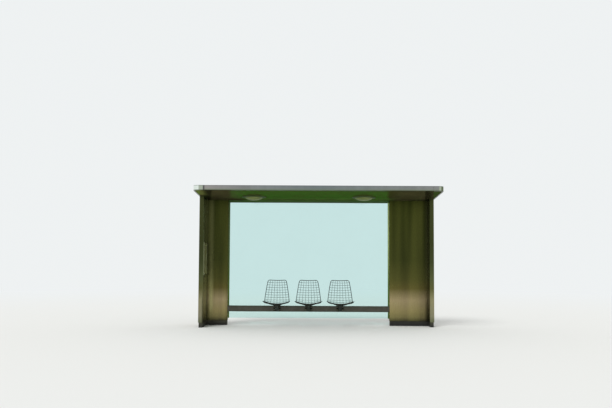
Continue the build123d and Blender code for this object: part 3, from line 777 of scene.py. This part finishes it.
for i in range(1, 4):
    node = f"wire_seat_{i}"
    midX = centreOf(node)[0]
    parts = wireSeat(seat, midX) + [panPlate(seat, midX), frontGusset(seat, midX)]
    piece = addPiece(f"seat_mesh_{i}", parts, "wire")
    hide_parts(node)


print("lamp dishes")
lamp = {"radius": 0.170, "depth": 0.065, "wall": 0.003, "fall": 2.88, "arc": 87.0, "steps": 22, "sides": 96}


def onSoffit(points, centre):
    # a lamp's own points, Z along its axis, leant with the soffit and set at its place
    fall = math.radians(-lamp["fall"])
    lean = np.array([[1, 0, 0], [0, math.cos(fall), -math.sin(fall)], [0, math.sin(fall), math.cos(fall)]])
    return points @ lean.T + centre


def lampCentre(name):
    # where the axis of a lamp's round part meets its upper face, from the part's leaning box
    low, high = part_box(name)
    x, y, _ = centreOf(name)
    return np.array([x, y, high.z - (high.x - low.x) / 2 * math.sin(math.radians(lamp["fall"]))])


def lampDish(values, name):
    # a quarter ellipse turned about its axis: radius by cosine, depth by sine, one even wall
    turn = circle(values["sides"])
    arc = np.linspace(0, math.radians(values["arc"]), values["steps"])[:, None]
    outer, inner = [np.concatenate([(values["radius"] - wall) * np.cos(arc),
                                    (wall - values["depth"]) * np.sin(arc)], 1)
                    for wall in (0.0, values["wall"])]
    profile = np.concatenate([outer[::-1], inner])
    radius, depth = profile[:, None, 0], profile[:, None, 1]
    points = np.stack([radius * np.cos(turn), radius * np.sin(turn), depth + 0 * turn], -1)
    return onSoffit(points, lampCentre(name)), cappedFaces(len(profile), values["sides"])


for side in ("left", "right"):
    node = f"{side}_lamp_dome"
    piece = addPiece(f"{side}_lamp_dish", [lampDish(lamp, node)], "opal")
    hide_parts(node)


print("fixings")
fixing = {
    # radius and height of each kind of head
    "bolt": (0.011, 0.006), "panBolt": (0.009, 0.005), "screw": (0.006, 0.0022),
    "lampScrew": (0.0055, 0.0025), "washer": 1.28,
    "plateBoltX": 0.053, "plateBoltZ": (0.022, 0.078), "plateTop": 0.383, "plateFace": 0.004,
    "panBoltX": 0.090, "panBoltY": 0.050,
    "screwInset": 0.03, "screwFrom": 0.16, "screwTo": 2.36, "screwRows": 6,
    "lampScrewAt": 0.180, "lampScrewTurns": (90, 210, 330), "lampRingHeight": 0.018,
    "screwRings": 3, "screwSides": 10,
}


def hexHead(centre, normal, radius, height):
    # six sided head with a chamfered top on a six sided washer: rings by size and by height
    normal, first, second = squareTo(normal)
    turn = circle(6)[:, None]
    out = np.cos(turn) * first + np.sin(turn) * second
    washer = fixing["washer"]
    levels = [(washer, 0.0), (washer, 0.18), (1.0, 0.18), (1.0, 0.85), (0.86, 1.0)]
    points = np.stack([centre + radius * size * out + height * lift * normal for size, lift in levels])
    return points, cappedFaces(len(levels), 6)


def seatFixings(values, name):
    # four bolts through the clamp plate and four low heads on the pan plate
    midX = centreOf(name)[0]
    face = panelFace - values["plateFace"]
    parts = [hexHead((midX + side * values["plateBoltX"], face, values["plateTop"] - down), (0, -1, 0),
                     *values["bolt"])
             for side in (-1, 1) for down in values["plateBoltZ"]]
    for side in (-1, 1):
        for way in (-1, 1):
            centre, _, up = panPoint(midX + side * values["panBoltX"],
                                     seat["panRun"] / 2 + way * values["panBoltY"])
            parts.append(dome(centre, up, *values["panBolt"]))
    return parts


for i in range(1, 4):
    addPiece(f"seat_bolts_{i}", seatFixings(fixing, f"wire_seat_{i}"), "fixing")


def sheetScrews(values):
    # flush domed screws: two rows down the back of each column
    parts = []
    for side in ("left", "right"):
        low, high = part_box(f"{side}_rear_panel")
        for x in (low.x + values["screwInset"], high.x - values["screwInset"]):
            for z in np.linspace(values["screwFrom"], values["screwTo"], values["screwRows"]):
                parts.append(dome((x, high.y, z), (0, 1, 0), *values["screw"],
                                  values["screwRings"], values["screwSides"]))
    return parts


def lampScrews(values, name):
    # three screws in the flat lower face of a lamp's trim ring
    turn = np.radians(values["lampScrewTurns"])
    place = np.stack([values["lampScrewAt"] * np.cos(turn), values["lampScrewAt"] * np.sin(turn),
                      0 * turn - values["lampRingHeight"]], -1)
    down = onSoffit(np.array([0.0, 0.0, -1.0]), 0.0)
    return [dome(point, down, *values["lampScrew"], values["screwRings"], values["screwSides"])
            for point in onSoffit(place, lampCentre(name))]


addPiece("cladding_screws", sheetScrews(fixing), "fixing")
for side in ("left", "right"):
    addPiece(f"{side}_lamp_screws", lampScrews(fixing, f"{side}_lamp_ring"), "fixing")


mastic = {"radius": 0.0015, "sink": 0.0017, "end": 0.001, "points": 12}


def jointSeals(values):
    # dark mastic in each fascia seam: a thin round bead up the seam, just behind the face
    parts = []
    for end, way in (("front", -1), ("rear", 1)):
        low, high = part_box(f"{end}_fascia")
        face = low.y if way < 0 else high.y
        z = np.linspace(low.z + values["end"], high.z - values["end"], values["points"])
        for x in (low.x - values["radius"], high.x + values["radius"]):
            path = np.stack([0 * z + x, 0 * z + face - way * values["sink"], z], -1)
            parts.append(tube(path, values["radius"]))
    return parts


addPiece("fascia_joint_seals", jointSeals(mastic), "seal")


print("roof deck")
roof = {
    "top": 2.633, "drop": 0.030, "fall": 1.0,
    "battenX": (-1.14, 0.0, 1.14), "battenWidth": 0.044, "battenHeight": 0.007, "battenSheet": 0.0014,
    "battenPoints": 24, "endGap": 0.02,
    "screw": (0.0045, 0.0022), "screwPitch": 0.30, "screwEnd": 0.12, "screwLift": 0.0012,
    "guardRadius": 0.046, "guardRise": 0.020, "guardBar": 0.0032, "guardBars": 10, "guardCap": 0.013,
    "guardArc": 80.0, "barPoints": 10, "barSides": 6, "ringPoints": 48, "capRings": 4, "capSides": 20,
}


def deckZ(values, y):
    # top of the deck sheet, which falls to the back
    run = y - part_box("front_fascia")[0].y
    return values["top"] - values["drop"] - run * math.tan(math.radians(values["fall"]))


def batten(values, midX):
    # cover strip over a sheet joint: a flat hat section with raised middle, its profile carried along Y
    low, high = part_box("roof_deck")
    half, rise, thin = values["battenWidth"] / 2, values["battenHeight"], values["battenSheet"]
    right = np.array([(0.4, rise), (0.5, rise * 0.75), (0.6, thin), (1.0, thin), (1.0, 0)])
    profile = np.concatenate([right[::-1] * (-1, 1), right]) * (half, 1)
    y = np.linspace(low.y + values["endGap"], high.y - 3 * values["endGap"], values["battenPoints"])[:, None]
    points = np.stack([midX + profile[:, 0] + 0 * y, y + 0 * profile[:, 0],
                       deckZ(values, y) + profile[:, 1]], -1)
    return points, cappedFaces(len(y), len(profile))


def battenScrews(values, midX):
    # low domed screws along both flanges of a cover strip, one pitch apart
    low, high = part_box("roof_deck")
    across = values["battenWidth"] * 0.4
    return [dome((midX + side * across, y, deckZ(values, y) + values["screwLift"]), (0, 0, 1),
                 *values["screw"], fixing["screwRings"], fixing["screwSides"])
            for y in np.arange(low.y + values["screwEnd"], high.y - values["screwEnd"], values["screwPitch"])
            for side in (-1, 1)]


def outletGuard(values):
    # leaf guard: bars bent over a quarter ellipse from a foot ring to a small cap
    x, y, _ = centreOf("rain_outlet")
    foot = np.array([x, y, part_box("rain_outlet")[1].z])
    bar, radius = values["guardBar"], values["guardRadius"]
    turn = circle(values["ringPoints"])
    ring = foot + np.stack([radius * np.cos(turn), radius * np.sin(turn), 0 * turn + bar / 2], -1)
    parts = [tube(ring, bar / 2, 8, True, (0, 0, 1))]
    rise = np.linspace(0, math.radians(values["guardArc"]), values["barPoints"])
    out, up = radius * np.cos(rise), bar / 2 + (values["guardRise"] - bar) * np.sin(rise)
    for a in circle(values["guardBars"]):
        path = foot + np.stack([out * math.cos(a), out * math.sin(a), up], -1)
        parts.append(tube(path, bar / 2, values["barSides"], False, (-math.sin(a), math.cos(a), 0)))
    parts.append(dome(foot + np.array([0, 0, values["guardRise"] - bar]), (0, 0, 1), values["guardCap"],
                      bar, values["capRings"], values["capSides"]))
    return parts


addPiece("deck_battens", [batten(roof, midX) for midX in roof["battenX"]], "deck", False)
screws = [screw for midX in roof["battenX"] for screw in battenScrews(roof, midX)]
addPiece("batten_screws", screws, "fixing")
addPiece("outlet_guard", outletGuard(roof), "frame")


headSeal = {"height": 0.010, "depth": 0.0042, "end": 0.025, "points": 10}


def headSeals(values):
    # rubber wedge on each face of the glass under the head rail: a half ellipse carried along X
    railLow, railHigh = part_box("glazing_head_rail")
    paneLow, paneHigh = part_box("glass_pane")
    turn = np.linspace(-math.pi / 2, math.pi / 2, values["points"])
    half = values["height"] / 2
    x = np.array([[railLow.x + values["end"]], [railHigh.x - values["end"]]])
    faces = cappedFaces(2, values["points"])
    parts = []
    for face, way in ((paneLow.y, -1), (paneHigh.y, 1)):
        points = np.stack([x + 0 * turn, face + way * values["depth"] * np.cos(turn) + 0 * x,
                           railLow.z - half + half * np.sin(turn) + 0 * x], -1)
        parts.append((points, [face[::-1] for face in faces] if way < 0 else faces))
    return parts


addPiece("head_seals", headSeals(headSeal), "seal")


print("stage, light and camera")
stageValues = {"backdrop": (0.86, 0.885, 0.89, 1.0), "floor": tone(222, 223, 220), "worldLevel": 0.8,
               "sun": 1.6, "sunAngle": 24.0, "sunTurn": (38, -22, 0),
               "floorSize": 120.0, "fade": (4.0, 22.0)}


def makeWorld(values):
    # the camera, gloss and glass see the backdrop, and all other rays a plain white light
    world = bpy.data.worlds.new("studio")
    bpy.context.scene.world = world
    made = Shader(world)
    rays = made.node("ShaderNodeLightPath", {}, []).socket.node.outputs
    camera, gloss, through = [Value(made, rays[f"Is {kind} Ray"])
                              for kind in ("Camera", "Glossy", "Transmission")]
    seen = camera.math("MAXIMUM", camera.math("MAXIMUM", camera, gloss), through)
    light = made.node("ShaderNodeBackground", {}, [white, values["worldLevel"]])
    backdrop = made.node("ShaderNodeBackground", {}, [values["backdrop"]])
    both = made.node("ShaderNodeMixShader", {}, [seen, light, backdrop])
    made.plug(made.tree.nodes.new("ShaderNodeOutputWorld").inputs["Surface"], both)


def makeFloor(values):
    half = values["floorSize"] / 2
    mesh = bpy.data.meshes.new("floor")
    mesh.from_pydata([(-half, -half, 0), (half, -half, 0), (half, half, 0), (-half, half, 0)], [],
                     [(0, 1, 2, 3)])
    floor = bpy.data.objects.new("floor", mesh)
    bpy.context.scene.collection.objects.link(floor)
    made = Finish("floorPaint", metallic=0.0, roughness=0.85, Specular_IOR_Level=0.1)
    made.set("Base Color", values["floor"])
    # the floor turns into the backdrop with the distance from the shelter
    far = (made.x * made.x + made.y * made.y) ** 0.5
    made.cover(far.step(*values["fade"]), made.node("ShaderNodeEmission", {}, [values["backdrop"], 1.0]))
    mesh.materials.append(made.material)


def makeSun(values):
    data = bpy.data.lights.new("softKey", "SUN")
    data.energy = values["sun"]
    data.angle = math.radians(values["sunAngle"])
    key = bpy.data.objects.new("softKey", data)
    key.rotation_euler = [math.radians(turn) for turn in values["sunTurn"]]
    bpy.context.scene.collection.objects.link(key)


cameraValues = {"place": (-0.128, -16.197, 1.277), "yaw": -0.360, "pitch": 3.800, "roll": 0.301,
                "lens": 50.0, "sensor": 36.0, "farEnd": 200.0}


def makeCamera(values):
    # yaw turns it about Z, pitch tips it up and roll turns it about its own axis
    yaw, pitch, roll = [math.radians(values[k]) for k in ("yaw", "pitch", "roll")]
    ahead = Vector((math.sin(yaw) * math.cos(pitch), math.cos(yaw) * math.cos(pitch), math.sin(pitch)))
    level = Vector((math.cos(yaw), -math.sin(yaw), 0))
    upright = level.cross(ahead)
    right = level * math.cos(roll) + upright * math.sin(roll)
    up = upright * math.cos(roll) - level * math.sin(roll)
    data = bpy.data.cameras.new("camera")
    data.sensor_width = values["sensor"]
    data.lens = values["lens"]
    data.clip_end = values["farEnd"]
    camera = bpy.data.objects.new("camera", data)
    turn = Matrix((right, up, -ahead)).transposed().to_4x4()
    camera.matrix_world = Matrix.Translation(values["place"]) @ turn
    bpy.context.scene.collection.objects.link(camera)
    bpy.context.scene.camera = camera


makeWorld(stageValues)
makeFloor(stageValues)
makeSun(stageValues)
makeCamera(cameraValues)
bpy.context.scene.view_settings.view_transform = "Standard"

print("done")
